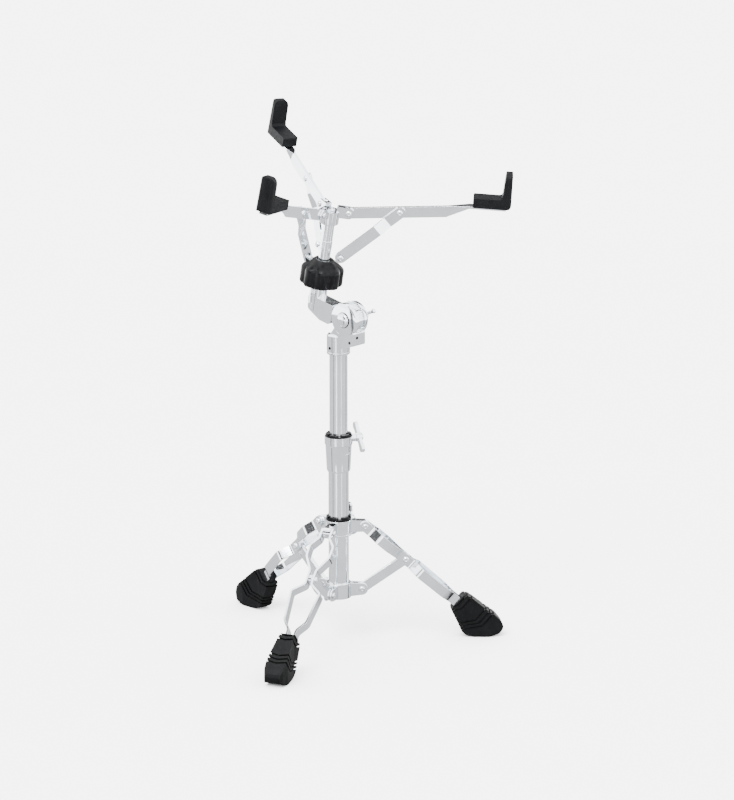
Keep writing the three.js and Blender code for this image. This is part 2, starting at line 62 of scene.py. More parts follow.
def addCamera():
    heading = math.radians(cameraSetting["azimuth"])
    tip = math.radians(cameraSetting["elevation"])
    right = Vector((math.cos(heading), math.sin(heading), 0))
    ahead = Vector((-math.sin(heading) * math.cos(tip), math.cos(heading) * math.cos(tip), -math.sin(tip)))
    target = Vector((poleX, poleY, cameraSetting["targetHeight"])) + right * cameraSetting["targetRight"]
    data = bpy.data.cameras.new("camera")
    data.lens = cameraSetting["lens"]
    data.sensor_width = 36
    data.clip_start = 0.1
    data.clip_end = 60
    camera = bpy.data.objects.new("camera", data)
    camera.location = target - ahead * cameraSetting["distance"]
    camera.rotation_euler = ahead.to_track_quat("-Z", "Y").to_euler()
    bpy.context.scene.collection.objects.link(camera)
    bpy.context.scene.camera = camera


addCamera()
print("camera placed")

# ---- shape helpers, all in millimetres ----


def turnedBody(profile, segments=96):
    # profile is [radius, height] upwards on the outside; it ends on the axis or closes on itself
    body = bmesh.new()
    onAxis = 1e-6
    angles = [2 * math.pi * i / segments for i in range(segments)]
    loops = []
    for radius, height in profile:
        if radius < onAxis:
            loops.append([body.verts.new((0, 0, height))])
        else:
            points = [(radius * math.cos(a), radius * math.sin(a), height) for a in angles]
            loops.append([body.verts.new(point) for point in points])
    closes = profile[0][0] > onAxis
    pairs = list(zip(loops, loops[1:]))
    if closes:
        pairs.append((loops[-1], loops[0]))
    for low, high in pairs:
        for i in range(segments):
            k = (i + 1) % segments
            corners = [low[i % len(low)], low[k % len(low)], high[k % len(high)], high[i % len(high)]]
            unique = list(dict.fromkeys(corners))
            if len(unique) > 2:
                body.faces.new(unique)
    bmesh.ops.recalc_face_normals(body, faces=body.faces)
    return body


def ringBody(outer, inner, low, high, segments=96):
    return turnedBody([(outer, low), (outer, high), (inner, high), (inner, low)], segments)


def discBody(radius, low, high, segments=96):
    return turnedBody([(0, low), (radius, low), (radius, high), (0, high)], segments)


def moved(body, *steps):
    for step in steps:
        bmesh.ops.transform(body, matrix=step, verts=body.verts)
    return body


def turn(angle, axis="Z"):
    return Matrix.Rotation(math.radians(angle), 4, axis)


def shift(x=0, y=0, z=0):
    return Matrix.Translation((x, y, z))


def boxBody(x, y, z):
    body = bmesh.new()
    bmesh.ops.create_cube(body, size=1)
    scale = Matrix.Diagonal((x[1] - x[0], y[1] - y[0], z[1] - z[0], 1))
    return moved(body, scale, shift((x[0] + x[1]) / 2, (y[0] + y[1]) / 2, (z[0] + z[1]) / 2))


def curvePoint(start, corner, end, share):
    return start * (1 - share) ** 2 + corner * 2 * share * (1 - share) + end * share ** 2


def rounded(points, radius, steps=6):
    # fillets every corner of an outline; radius is one number or one for each corner
    smooth = []
    count = len(points)
    for i, point in enumerate(points):
        corner = Vector(point)
        before = Vector(points[i - 1]) - corner
        after = Vector(points[(i + 1) % count]) - corner
        wanted = radius[i] if isinstance(radius, (list, tuple)) else radius
        half = before.angle(after) / 2
        if wanted <= 0 or half > math.pi / 2 - 0.02:
            smooth.append(corner)
            continue
        reach = min(wanted / math.tan(half), 0.49 * before.length, 0.49 * after.length)
        start = corner + before.normalized() * reach
        end = corner + after.normalized() * reach
        smooth += [curvePoint(start, corner, end, k / steps) for k in range(steps + 1)]
    return [(p.x, p.y) for p in smooth]


def plateBody(points, thickness):
    # an outline in XY, raised along Z and centred on it
    body = bmesh.new()
    low = [body.verts.new((x, y, -thickness / 2)) for x, y in points]
    high = [body.verts.new((x, y, thickness / 2)) for x, y in points]
    body.faces.new(low)
    body.faces.new(high)
    for i in range(len(points)):
        k = (i + 1) % len(points)
        body.faces.new((low[i], low[k], high[k], high[i]))
    bmesh.ops.recalc_face_normals(body, faces=body.faces)
    return body


def sideBody(points, width):
    # an outline in XZ, as wide along Y as the width given
    return moved(plateBody(points, width), turn(90, "X"))


def arcPoints(x, y, radius, start, end, steps=16):
    angles = [math.radians(start + (end - start) * i / steps) for i in range(steps + 1)]
    return [(x + radius * math.cos(a), y + radius * math.sin(a)) for a in angles]


def crossPinBody(radius, halfLength, x=0, z=0, segments=48):
    return moved(discBody(radius, -halfLength, halfLength, segments), turn(90, "X"), shift(x, 0, z))


def radialPinBody(radius, start, end, z, azimuth, segments=48):
    return moved(discBody(radius, start, end, segments), turn(90, "Y"), turn(azimuth), shift(z=z))


def temporaryObject(body):
    mesh = bpy.data.meshes.new("work")
    body.to_mesh(mesh)
    body.free()
    work = bpy.data.objects.new("work", mesh)
    bpy.context.scene.collection.objects.link(work)
    return work


def combined(operation, body, *tools):
    work = temporaryObject(body)
    helpers = [temporaryObject(tool) for tool in tools]
    for helper in helpers:
        step = work.modifiers.new("step", "BOOLEAN")
        step.operation = operation
        step.solver = "EXACT"
        step.object = helper
    result = bmesh.new()
    result.from_object(work, bpy.context.evaluated_depsgraph_get())
    for old in [work, *helpers]:
        mesh = old.data
        bpy.data.objects.remove(old)
        bpy.data.meshes.remove(mesh)
    bmesh.ops.remove_doubles(result, verts=result.verts, dist=0.002)
    bmesh.ops.dissolve_degenerate(result, edges=result.edges, dist=0.002)
    return result


def joined(*bodies):
    return combined("UNION", *bodies)


def carved(body, *tools):
    return combined("DIFFERENCE", body, *tools)


def together(*bodies):
    # several closed shells kept in one piece
    whole = bodies[0]
    for other in bodies[1:]:
        mesh = bpy.data.meshes.new("work")
        other.to_mesh(mesh)
        other.free()
        whole.from_mesh(mesh)
        bpy.data.meshes.remove(mesh)
    return whole


def addPiece(name, body, place, rideOn, slotName, replaced, edge=0.4, edgeSteps=3):
    mesh = bpy.data.meshes.new(name)
    body.to_mesh(mesh)
    body.free()
    mesh.transform(place @ Matrix.Scale(millimetre, 4))
    for face in mesh.polygons:
        face.use_smooth = True
    piece = bpy.data.objects.new(name, mesh)
    bpy.context.scene.collection.objects.link(piece)
    mesh.materials.append(finishes[slotName])
    if edge:
        bevel = piece.modifiers.new("edge", "BEVEL")
        bevel.width = edge * millimetre
        bevel.segments = edgeSteps
        bevel.limit_method = "ANGLE"
        bevel.angle_limit = math.radians(28)
        bevel.harden_normals = True
    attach(piece, rideOn)
    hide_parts(*replaced)
    return piece


# ---- places, worked out from the pole and the tilter ----
standShape = {
    "legPivot": (36.7, 167.5),
    "waist": (94.8, 116),
    "stayPivot": (32.4, 75),
    "tilterTurn": -51,
    "tilterAxis": (22, 473),
    "rodLean": 10.6,
    "rodOffset": 63,
    "hubHeight": 139,
    "hubPivot": 25,
    "sliderHeight": 75,
    "firstArm": 42.5,
}
longArm = {
    "slope": 9.3, "seatTilt": 3.8, "joint": 71, "barEnd": 135, "bend": (168, 8.6), "braceRadius": 22.5,
}
shortArm = {
    "slope": 17.3, "seatTilt": 5, "joint": 55.5, "barEnd": 98, "bend": (115, 5.6), "braceRadius": 31,
}
armKinds = {1: longArm, 2: shortArm, 3: shortArm}


def metres(x=0, y=0, z=0):
    return Matrix.Translation(Vector((x, y, z)) * millimetre)


def slopeOf(start, end):
    return math.degrees(math.atan2(end[1] - start[1], end[0] - start[0]))


poleFrame = Matrix.Translation((poleX, poleY, 0))
tilterFrame = poleFrame @ turn(standShape["tilterTurn"])
axisFrame = tilterFrame @ metres(standShape["tilterAxis"][0], 0, standShape["tilterAxis"][1])
headFrame = axisFrame @ turn(standShape["rodLean"], "Y")
rodFrame = headFrame @ metres(-standShape["rodOffset"])
hubFrame = rodFrame @ metres(z=standShape["hubHeight"])
sliderFrame = rodFrame @ metres(z=standShape["sliderHeight"])


def legTurn(number):
    return turn(120 * (number - 1))


def legPlane(number):
    return poleFrame @ legTurn(number)


def legFrame(number):
    pivot = standShape["legPivot"]
    return legPlane(number) @ metres(pivot[0], 0, pivot[1]) @ turn(-slopeOf(pivot, standShape["waist"]), "Y")


def stayFrame(number):
    pivot = standShape["stayPivot"]
    return legPlane(number) @ metres(pivot[0], 0, pivot[1]) @ turn(-slopeOf(pivot, standShape["waist"]), "Y")


def armTurn(number):
    return turn(standShape["firstArm"] + 120 * (number - 1))


def armFrame(number):
    return hubFrame @ armTurn(number) @ metres(standShape["hubPivot"]) @ turn(-armKinds[number]["slope"], "Y")


def seatFrame(number):
    kind = armKinds[number]
    bend = metres(kind["bend"][0], 0, kind["bend"][1])
    return armFrame(number) @ bend @ turn(kind["slope"] - kind["seatTilt"], "Y")


def braceRun(number):
    kind = armKinds[number]
    slope = math.radians(kind["slope"])
    run = standShape["hubPivot"] + kind["joint"] * math.cos(slope) - kind["braceRadius"]
    rise = kind["joint"] * math.sin(slope) + standShape["hubHeight"] - standShape["sliderHeight"]
    return run, rise


def braceFrame(number):
    run, rise = braceRun(number)
    lift = math.degrees(math.atan2(rise, run))
    return sliderFrame @ armTurn(number) @ metres(armKinds[number]["braceRadius"]) @ turn(-lift, "Y")


# ---- finishes ----


def startMaterial(name):
    material = bpy.data.materials.new(name)
    material.use_nodes = True
    shader = material.node_tree.nodes["Principled BSDF"]
    return material, material.node_tree, shader


def addNoise(tree, scale, detail, stretch=(1, 1, 1), roughness=0.6):
    place = tree.nodes.new("ShaderNodeTexCoord")
    mapping = tree.nodes.new("ShaderNodeMapping")
    mapping.inputs["Scale"].default_value = stretch
    noise = tree.nodes.new("ShaderNodeTexNoise")
    noise.inputs["Scale"].default_value = scale
    noise.inputs["Detail"].default_value = detail
    noise.inputs["Roughness"].default_value = roughness
    tree.links.new(place.outputs["Object"], mapping.inputs["Vector"])
    tree.links.new(mapping.outputs["Vector"], noise.inputs["Vector"])
    return noise.outputs["Fac"]


def addRange(tree, source, low, high, start=0.3, end=0.7):
    spread = tree.nodes.new("ShaderNodeMapRange")
    spread.inputs["From Min"].default_value = start
    spread.inputs["From Max"].default_value = end
    spread.inputs["To Min"].default_value = low
    spread.inputs["To Max"].default_value = high
    tree.links.new(source, spread.inputs["Value"])
    return spread.outputs["Result"]


def addTwoTones(tree, source, dark, light, start=0.3, end=0.7):
    ramp = tree.nodes.new("ShaderNodeValToRGB")
    ramp.color_ramp.elements[0].position = start
    ramp.color_ramp.elements[0].color = (*dark, 1)
    ramp.color_ramp.elements[1].position = end
    ramp.color_ramp.elements[1].color = (*light, 1)
    tree.links.new(source, ramp.inputs["Fac"])
    return ramp.outputs["Color"]


def addBump(tree, shader, heights):
    # heights is [source, depth in metres] from coarse to fine
    normal = None
    for source, depth in heights:
        bump = tree.nodes.new("ShaderNodeBump")
        bump.inputs["Strength"].default_value = 1
        bump.inputs["Distance"].default_value = depth
        tree.links.new(source, bump.inputs["Height"])
        if normal is not None:
            tree.links.new(normal, bump.inputs["Normal"])
        normal = bump.outputs["Normal"]
    tree.links.new(normal, shader.inputs["Normal"])


def linkLook(tree, shader, look, tone, wear):
    colour = addTwoTones(tree, tone, look["dark"], look["light"])
    tree.links.new(colour, shader.inputs["Base Color"])
    tree.links.new(addRange(tree, wear, *look["roughness"]), shader.inputs["Roughness"])


chromeLook = {
    "dark": (0.70, 0.735, 0.775),
    "light": (0.80, 0.83, 0.865),
    "roughness": (0.035, 0.11),
    "polishDepth": 0.00002,
    "hairlineDepth": 0.0000015,
}


def makeChrome():
    material, tree, shader = startMaterial("brightChromePlate")
    cloud = addNoise(tree, 38, 5)
    smear = addNoise(tree, 90, 6, (1, 1, 0.35))
    hairline = addNoise(tree, 900, 3, (1, 1, 0.06))
    linkLook(tree, shader, chromeLook, cloud, smear)
    addBump(tree, shader, [(cloud, chromeLook["polishDepth"]), (hairline, chromeLook["hairlineDepth"])])
    shader.inputs["Metallic"].default_value = 1
    return material


steelLook = {
    "dark": (0.55, 0.57, 0.6),
    "light": (0.78, 0.79, 0.81),
    "roughness": (0.16, 0.32),
    "grainDepth": 0.000006,
}


def makeBrightSteel():
    material, tree, shader = startMaterial("brightRivetSteel")
    cloud = addNoise(tree, 160, 5)
    grain = addNoise(tree, 1500, 3)
    linkLook(tree, shader, steelLook, cloud, grain)
    addBump(tree, shader, [(grain, steelLook["grainDepth"])])
    shader.inputs["Metallic"].default_value = 1
    return material


cradleLook = {
    "dark": (0.0012, 0.0014, 0.0017),
    "light": (0.0026, 0.003, 0.0036),
    "roughness": (0.4, 0.58),
}
footLook = {
    "dark": (0.0009, 0.001, 0.0012),
    "light": (0.0021, 0.0023, 0.0026),
    "roughness": (0.46, 0.66),
}
rubberTouch = {"gloss": 0.07, "dustDepth": 0.00004, "poreDepth": 0.00003}


def makeRubber(name, look):
    material, tree, shader = startMaterial(name)
    bloom = addNoise(tree, 55, 5)
    pores = addNoise(tree, 1300, 4)
    dust = addNoise(tree, 240, 8)
    linkLook(tree, shader, look, bloom, dust)
    addBump(tree, shader, [(dust, rubberTouch["dustDepth"]), (pores, rubberTouch["poreDepth"])])
    shader.inputs["Specular IOR Level"].default_value = rubberTouch["gloss"]
    return material


nylonLook = {
    "dark": (0.0009, 0.001, 0.0012),
    "light": (0.002, 0.0022, 0.0027),
    "roughness": (0.26, 0.42),
    "gloss": 0.09,
    "grainDepth": 0.00002,
}


def makeNylon():
    material, tree, shader = startMaterial("blackNylon")
    bloom = addNoise(tree, 70, 4)
    grain = addNoise(tree, 1100, 5)
    linkLook(tree, shader, nylonLook, bloom, bloom)
    addBump(tree, shader, [(grain, nylonLook["grainDepth"])])
    shader.inputs["Specular IOR Level"].default_value = nylonLook["gloss"]
    return material


finishes = {
    "chrome": makeChrome(),
    "bright_steel": makeBrightSteel(),
    "cradle_rubber": makeRubber("cradleRubber", cradleLook),
    "foot_rubber": makeRubber("footRubber", footLook),
    "nylon": makeNylon(),
}
print("finishes made")

# ---- pole: tubes, collars and clamp ----
poleShape = {
    "lowerTube": (14.3, 13.1, 66, 290),
    "upperTube": (12.7, 11.4, 170, 441),
    "clamp": (15.8, 19.6, 249, 300),
    "tripodCollar": (18.2, 155.5, 178),
    "stayCollar": (17.5, 64, 86),
    "boss": 5.4,
    "bossFace": 25,
    "bossHole": 3.3,
}
boltPlaces = {
    "height": {"turn": 15, "height": 294.5, "lean": -42},
    "tripod": {"turn": 50, "height": 171.5, "lean": -12},
}


def lugBody(root, pivotX, pivotZ, half, low, high, width):
    outline = [(root, low), *arcPoints(pivotX, pivotZ, half, -90, 90, 24), (root, high)]
    return sideBody(outline, width)


def bushingBody(outer, inner, low, high):
    chamfer = 1.2
    notchHalf, notchDepth = 2.2, 2.6
    ring = turnedBody([
        (outer, low), (outer, high - chamfer), (outer - chamfer, high), (inner, high), (inner, low),
    ])
    notches = []
    for i in range(6):
        notch = boxBody((inner - 2, outer + 2), (-notchHalf, notchHalf), (high - notchDepth, high + 1))
        notches.append(moved(notch, turn(i * 60 + 30)))
    return carved(ring, *notches)


def bossBody(place, start):
    radius, end = poleShape["boss"], poleShape["bossFace"]
    return radialPinBody(radius, start, end, place["height"], place["turn"])


def bossHoleBody(place, start):
    radius, end = poleShape["bossHole"], poleShape["bossFace"] + 1
    return radialPinBody(radius, start, end, place["height"], place["turn"])


def addPole():
    outer, inner, low, high = poleShape["lowerTube"]
    tube = ringBody(outer, inner, low, high)
    addPiece("lowerTube", tube, poleFrame, "base", "chrome", ["base_tube"], 0.35)
    skirt, lip = inner - runningGap, inner - 1.6
    plug = turnedBody([
        (0, low - 3), (outer - 1, low - 3), (outer, low - 2), (outer, low - runningGap),
        (skirt, low - runningGap), (skirt, low + 10), (lip, low + 10), (lip, low + 2), (0, low + 2),
    ])
    addPiece("tubeEndPlug", plug, poleFrame, "base", "nylon", ["base_tube_plug"], 0.3)
    tube = ringBody(*poleShape["upperTube"])
    addPiece("sightTube", tube, poleFrame, "upper_pole", "chrome", ["upper_tube"], 0.35)
    addClamp(outer + runningGap, poleShape["upperTube"][0] + runningGap)
    addTripodCollar(outer + runningGap)
    addStayCollar(outer + runningGap)


def addClamp(bore, neck):
    lowRadius, highRadius, low, high = poleShape["clamp"]
    step = high - 10
    shoulder = poleShape["lowerTube"][3] + runningGap
    groove = highRadius - 0.7
    sleeve = turnedBody([
        (lowRadius, low), (lowRadius + 0.3, low + 1.4), (lowRadius + 0.9, low + 2.2),
        (highRadius - 1.2, step - 4), (highRadius - 0.9, step - 2.6), (highRadius - 0.1, step - 1.4),
        (highRadius, step), (highRadius, high - 3.4), (groove, high - 3), (groove, high - 2.2),
        (highRadius, high - 1.8), (highRadius, high), (neck, high), (neck, shoulder), (bore, shoulder),
        (bore, low),
    ])
    slot = moved(boxBody((highRadius - 2.2, highRadius + 3), (-5.5, 5.5), (275.7, 278.8)), turn(-53))
    body = joined(sleeve, bossBody(boltPlaces["height"], highRadius - 3))
    body = carved(body, slot, bossHoleBody(boltPlaces["height"], highRadius - 2))
    addPiece("heightClamp", body, poleFrame, "base", "chrome", ["height_clamp"])
    bushing = bushingBody(highRadius - 1, neck, high + runningGap, high + 4)
    addPiece("heightClampBushing", bushing, poleFrame, "base", "nylon", ["height_clamp_bushing"], 0.3)


def addTripodCollar(bore):
    outer, low, high = poleShape["tripodCollar"]
    pivotX, pivotZ = standShape["legPivot"]
    groove = outer - 0.5
    ring = turnedBody([
        (outer, low), (outer, low + 2.2), (groove, low + 2.6), (groove, low + 3.4), (outer, low + 3.8),
        (outer, high), (bore, high), (bore, low),
    ])
    lugs = []
    for number in legNumbers:
        lug = lugBody(outer - 1.5, pivotX, pivotZ, 8, low + 4, high - 1, 11.4)
        hole = crossPinBody(legShape["pivotHole"], 20, pivotX, pivotZ)
        lugs.append(moved(carved(lug, hole), legTurn(number)))
    body = joined(ring, *lugs, bossBody(boltPlaces["tripod"], outer - 1))
    body = carved(body, bossHoleBody(boltPlaces["tripod"], outer + 1))
    addPiece("tripodCollar", body, poleFrame, "tripod_slider", "chrome", ["tripod_collar"], 0.5)
    bushing = bushingBody(outer - 0.4, bore, high + runningGap, high + 6)
    addPiece("tripodBushing", bushing, poleFrame, "tripod_slider", "nylon", ["tripod_collar_bushing"], 0.3)


def addStayCollar(bore):
    outer, low, high = poleShape["stayCollar"]
    pivotX, pivotZ = standShape["stayPivot"]
    slotHalf = legShape["stayThickness"] / 2 + runningGap
    lugs = []
    for number in legNumbers:
        lug = lugBody(outer - 1.5, pivotX, pivotZ, 8.6, low + 1, high - 1, 11.2)
        slot = boxBody((outer + 2, 60), (-slotHalf, slotHalf), (low - 5, high + 5))
        hole = crossPinBody(legShape["stayHole"], 20, pivotX, pivotZ)
        lugs.append(moved(carved(lug, slot, hole), legTurn(number)))
    body = joined(ringBody(outer, bore, low, high), *lugs)
    addPiece("stayCollar", body, poleFrame, "base", "chrome", ["stay_collar"], 0.6)


# ---- wing bolts ----
wingShape = {"screw": 3, "hub": 6, "reach": 18, "lobe": 5.5, "thickness": 4.5, "length": 11, "sunk": 5}


def wingBody():
    w = wingShape
    shank = turnedBody([
        (0, -w["sunk"]), (w["screw"], -w["sunk"]), (w["screw"], 0.3), (w["hub"] - 0.6, 0.3), (w["hub"], 0.9),
        (w["hub"], w["length"] - 2.6), (w["hub"] - 0.8, w["length"] - 0.9), (w["hub"] - 2.4, w["length"]),
        (0, w["length"]),
    ], 48)
    shank = moved(shank, turn(90, "Y"))
    # one wing, its face in the YZ plane: a narrow neck that swells into a round lobe
    half = [
        (-5, 0), (-3.9, 7), (-4.2, 11.5), *arcPoints(0, w["reach"], w["lobe"], 215, -35, 28),
        (4.2, 11.5), (3.9, 7), (5, 0),
    ]
    middle = w["length"] - w["thickness"] / 2 - 3
    wings = []
    for flip in (0, 180):
        blade = moved(plateBody(half, w["thickness"]), turn(90, "X"), turn(90))
        wings.append(moved(blade, turn(flip, "X"), shift(middle)))
    return joined(shank, *wings)


def addWingBolt(which):
    place = boltPlaces[which]
    seat = poleFrame @ metres(z=place["height"]) @ turn(place["turn"]) @ metres(poleShape["bossFace"])
    addPiece(f"{which}WingBolt", wingBody(), seat @ turn(place["lean"], "X"), f"{which}_bolt", "chrome",
             [f"{which}_wing_bolt"], 1.1, 4)


# ---- legs, stays and their rivets ----
legShape = {
    "line": [  # how far along the leg, and out from its middle
        (-8, 7.4), (12, 7.4), (26, 17.5), (44, 17), (66, 4.6), (89, 4.6), (102, 21.5), (150, 16.5),
        (164, 6), (192, 6),
    ],
    "waistHalf": 4.6,
    "depth": 14.5,
    "thickness": 2.8,
    "stayThickness": 5.6,
    "pivotHole": 3.3,
    "stayHole": 2.8,
    "bendRadius": 3,
}
rivetShape = {"radius": 4.2, "rise": 1.8, "dimple": 1.9, "dimpleDepth": 1.3, "sunk": 0.3}


def headProfile(sunk):
    radius, rise, dimple = rivetShape["radius"], rivetShape["rise"], rivetShape["dimple"]
    floor = rise - rivetShape["dimpleDepth"]
    return [
        (0, -sunk), (radius, -sunk), (radius, 0.35), (radius - 0.25, 0.75), (radius - 0.9, rise * 0.82),
        (radius - 1.5, rise), (dimple, rise), (dimple - 0.2, floor), (0, floor),
    ]


def headBody(face, side, sunk=0.0, x=0):
    return moved(turnedBody(headProfile(sunk), 40), turn(-90 * side, "X"), shift(x, face))


def rivetBody(shank, grip):
    seat = grip / 2 + runningGap
    return joined(crossPinBody(shank, seat + 0.2), headBody(seat, 1), headBody(-seat, -1))


def stripOutline(line, thickness, radius):
    # offsets a softly bent line to both sides
    bent = softLine(line, radius)
    sides = [[], []]
    for i, point in enumerate(bent):
        before, after = bent[max(i - 1, 0)], bent[min(i + 1, len(bent) - 1)]
        along = (after - before).normalized()
        normal = Vector((-along.y, along.x)) * thickness / 2
        sides[0].append(tuple(point - normal))
        sides[1].insert(0, tuple(point + normal))
    return sides[0] + sides[1]


def softLine(line, radius, steps=6):
    points = [Vector(p) for p in line]
    bent = [points[0]]
    for before, corner, after in zip(points, points[1:], points[2:]):
        reach = min(radius, (before - corner).length * 0.45, (after - corner).length * 0.45)
        start = corner + (before - corner).normalized() * reach
        end = corner + (after - corner).normalized() * reach
        bent += [curvePoint(start, corner, end, k / steps) for k in range(steps + 1)]
    return [*bent, points[-1]]


def strapBody(side):
    depth, thickness = legShape["depth"], legShape["thickness"]
    line = [(along, half * side) for along, half in legShape["line"]]
    strap = plateBody(stripOutline(line, thickness, legShape["bendRadius"]), depth)
    half = depth / 2 + 0.01
    roundEnd = sideBody([*arcPoints(0, 0, half, 90, 270, 24), (260, -half), (260, half)], 80)
    waistAt = math.dist(standShape["legPivot"], standShape["waist"])
    waistFace = legShape["waistHalf"] + thickness / 2
    strap = carved(combined("INTERSECT", strap, roundEnd), crossPinBody(legShape["pivotHole"], 20))
    return joined(strap, headBody(side * waistFace, side, rivetShape["sunk"], waistAt))


def barOutline(length, half):
    return [*arcPoints(0, 0, half, 90, 270, 24), *arcPoints(length, 0, half, -90, 90, 24)]


def addLeg(number):
    place = legFrame(number)
    for side, word, cad in ((1, "Left", "left"), (-1, "Right", "right")):
        addPiece(f"leg{number}Strap{word}", strapBody(side), place, f"leg_{number}", "chrome",
                 [f"leg_{number}_strap_{cad}"], 0.45)
    grip = 2 * (legShape["line"][0][1] + legShape["thickness"] / 2)
    addPiece(f"leg{number}Rivet", rivetBody(3, grip), place, f"leg_{number}", "bright_steel",
             [f"leg_{number}_pivot_rivet"], 0.15)


def addStay(number):
    place, thickness = stayFrame(number), legShape["stayThickness"]
    outline = barOutline(math.dist(standShape["stayPivot"], standShape["waist"]), legShape["depth"] / 2)
    stay = carved(sideBody(outline, thickness), crossPinBody(legShape["stayHole"], 20))
    addPiece(f"stay{number}", stay, place, f"stay_{number}", "chrome", [f"stay_{number}"], 0.6)
    addPiece(f"stay{number}Rivet", rivetBody(2.5, thickness + 5.6), place, f"stay_{number}", "bright_steel",
             [f"stay_{number}_rivet"], 0.15)


# ---- rubber feet ----
footShape = {
    "side": [  # radius from the pole and height
        (158.5, 41.5), (178, 63), (187, 58.5), (210, 39.5), (223, 30), (232, 19), (234, 12),
        (228, 4.5), (217, 0.8), (208, 0), (192, 0), (181, 2), (174, 8), (167, 24),
    ],
    "top": [
        (150, -10), (182, -10.5), (212, -15), (228, -14), (240, -9),
        (240, 9), (228, 14), (212, 15), (182, 10.5), (150, 10),
    ],
    "grooves": [179, 186.5, 213, 219.5, 226],
    "grooveWidth": 2.6,
    "sweep": 5,
    "backSweep": 0.8,
    "depth": 0.84,
    "centre": (198, 29),
}


def bootBody(scale):
    x, z = footShape["centre"]
    side = [(x + (p[0] - x) * scale, z + (p[1] - z) * scale) for p in footShape["side"]]
    top = [(x + (p[0] - x) * scale, p[1] * scale) for p in footShape["top"]]
    return combined("INTERSECT", sideBody(rounded(side, 7), 60), plateBody(rounded(top, 9), 200))


def chevronBody(outline, backSweep):
    # straight above the leg's line, swept back below it
    body = bmesh.new()
    levels = []
    for height in (-50, -3, 50):
        back = backSweep * min(height + 3, 0)
        levels.append([body.verts.new((x + back, y, height)) for x, y in outline])
    body.faces.new(levels[0])
    body.faces.new(levels[-1])
    for low, high in zip(levels, levels[1:]):
        for i in range(len(outline)):
            k = (i + 1) % len(outline)
            body.faces.new((low[i], low[k], high[k], high[i]))
    bmesh.ops.recalc_face_normals(body, faces=body.faces)
    return body


def footBody():
    pivot = standShape["legPivot"]
    toLeg = shift(pivot[0], 0, pivot[1]) @ turn(-slopeOf(pivot, standShape["waist"]), "Y")
    width, sweep = footShape["grooveWidth"], footShape["sweep"]
    grooves = []
    for along in footShape["grooves"]:
        outline = [
            (along, 0), (along - sweep, -24), (along - sweep + width, -24),
            (along + width, 0), (along - sweep + width, 24), (along - sweep, 24),
        ]
        grooves.append(moved(chevronBody(outline, footShape["backSweep"]), toLeg))
    strapRoom = moved(boxBody((160, 198), (-8.3, 8.3), (-9, 9)), toLeg)
    cutter = carved(together(*grooves), bootBody(footShape["depth"]), strapRoom)
    return carved(bootBody(1), cutter)


def addFoot(number):
    addPiece(f"foot{number}", footBody(), legPlane(number), f"leg_{number}", "foot_rubber",
             [f"leg_{number}_foot"], 0.9, 3)


addPole()
addWingBolt("height")
addWingBolt("tripod")
print("pole made")
for n in legNumbers:
    addLeg(n)
    addStay(n)
    addFoot(n)
print("legs and feet made")

# ---- tilter: clevis, bolt, washer and handle ----
tilterShape = {
    "cheekRadius": 23.9,
    "halfWidth": 13,
    "slot": 5.6,
    "socket": (16.3, 419, 448),
    "bore": 13,
    "bracket": [(-6, 427), (5, 427), (40, 438), (40, 456), (34, 462), (6, 462), (-6, 446)],
    "teeth": 54,
    "toothDepth": 1.1,
    "drumRadius": 23,
    "drumHalf": 5.2,
    "boltHole": 4.3,
    "handleTurn": -25,
}


def gearOutline(radius, teeth, depth):
    points = []
    for i in range(teeth):
        for share, reach in ((0.0, radius - depth), (0.25, radius - depth), (0.45, radius), (0.8, radius)):
            angle = 2 * math.pi * (i + share) / teeth
            points.append((reach * math.cos(angle), reach * math.sin(angle)))
    return points


def screwHeadBody(radius, rise):
    head = turnedBody([(0, 0), (radius, 0), (radius, rise - 0.4), (radius - 0.5, rise), (0, rise)], 32)
    return carved(head, boxBody((-radius - 1, radius + 1), (-0.45, 0.45), (rise - 0.8, rise + 1)))


def addClevis():
    t = tilterShape
    x, z = standShape["tilterAxis"]
    radius, low, high = t["socket"]
    cheek, half = t["cheekRadius"], t["halfWidth"]
    cheekRim = moved(turnedBody([
        (0, -half), (cheek - 2.2, -half), (cheek - 0.6, -half + 0.7), (cheek, -half + 2.2),
        (cheek, half - 2.2), (cheek - 0.6, half - 0.7), (cheek - 2.2, half), (0, half),
    ], 128), turn(90, "X"), shift(x, 0, z))
    socket = turnedBody([
        (0, low), (radius - 0.8, low), (radius, low + 0.8), (radius, low + 3), (radius - 0.5, low + 3.4),
        (radius - 0.5, low + 4.2), (radius, low + 4.6), (radius, high - 2), (radius - 2, high), (0, high),
    ])
    bracket = sideBody(rounded(t["bracket"], 2.2), 2 * half - 2)
    gullet = boxBody((-30, x - 1), (-t["slot"] + 0.05, t["slot"] - 0.05), (444.5, 479.4))
    body = carved(joined(socket, bracket, cheekRim), gullet)
    body = carved(body, crossPinBody(t["drumRadius"] + 1.6, t["slot"], x, z, 128))
    body = carved(body, discBody(t["bore"], low - 1, 441.3), crossPinBody(t["boltHole"], 20, x, z))
    addPiece("tilterClevis", body, tilterFrame, "tilter_base", "chrome", ["tilter_clevis"], 0.7, 3)
    places = {
        "clevisScrewFront": tilterFrame @ metres(33, -half + 1.1, 442) @ turn(90, "X"),
        "clevisScrewSocket": tilterFrame @ metres(z=429) @ turn(-94) @ metres(radius - 0.2) @ turn(90, "Y"),
        "clevisScrewEnd": tilterFrame @ metres(39.8, -4, 449) @ turn(90, "Y"),
    }
    for name, place in places.items():
        addPiece(name, screwHeadBody(2.1, 0.9), place, "tilter_base", "nylon", [], 0.15)


